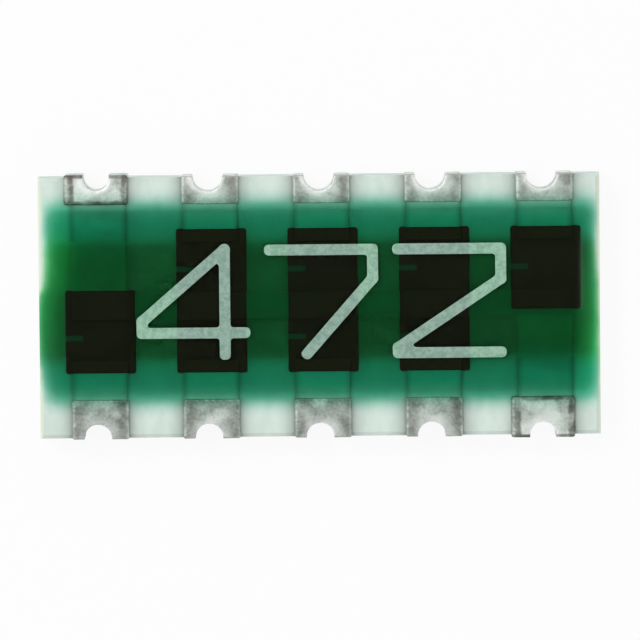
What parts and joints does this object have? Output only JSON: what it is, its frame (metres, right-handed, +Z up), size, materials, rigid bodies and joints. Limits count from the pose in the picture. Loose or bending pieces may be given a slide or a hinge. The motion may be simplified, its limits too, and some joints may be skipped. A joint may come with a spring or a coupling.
{
  "type": "resistor network",
  "caption": "Flat chip resistor network: thick-film resistors on a ceramic plate, glazed green, with castellated solder terminals along both long sides.",
  "frame": {"origin": "under the middle of the ceramic plate, in the plane of the solder pads that rest on the board", "axes": "+X along the plate, +Y across it towards the row that holds the left common terminal, +Z up out of the board through the glazed face"},
  "size_m": [0.0064, 0.003, 0.0006],
  "materials": {
    "alumina": "fired matte",
    "matte_solder": "matte tin solder",
    "silver_print": "fired silver palladium print",
    "resistor_ink": "fired black resistor ink",
    "inner_glass": "clear yellowish green glass",
    "outer_glass": "glossy clear blue-green glass"
  },
  "bodies": {
    "root": {"ceramic_plate": "alumina", "common_conductor": "silver_print", "electrode_1": "silver_print", "electrode_2": "silver_print", "electrode_3": "silver_print", "electrode_4": "silver_print", "electrode_6": "silver_print", "electrode_7": "silver_print", "electrode_8": "silver_print", "electrode_9": "silver_print", "resistor_film_1": "resistor_ink", "resistor_film_2": "resistor_ink", "resistor_film_3": "resistor_ink", "resistor_film_4": "resistor_ink", "resistor_film_5": "resistor_ink", "inner_glass": "inner_glass", "outer_glass": "outer_glass", "terminal_1": "matte_solder", "terminal_2": "matte_solder", "terminal_3": "matte_solder", "terminal_4": "matte_solder", "terminal_5": "matte_solder", "terminal_6": "matte_solder", "terminal_7": "matte_solder", "terminal_8": "matte_solder", "terminal_9": "matte_solder", "terminal_10": "matte_solder"}
  },
  "joints": []
}
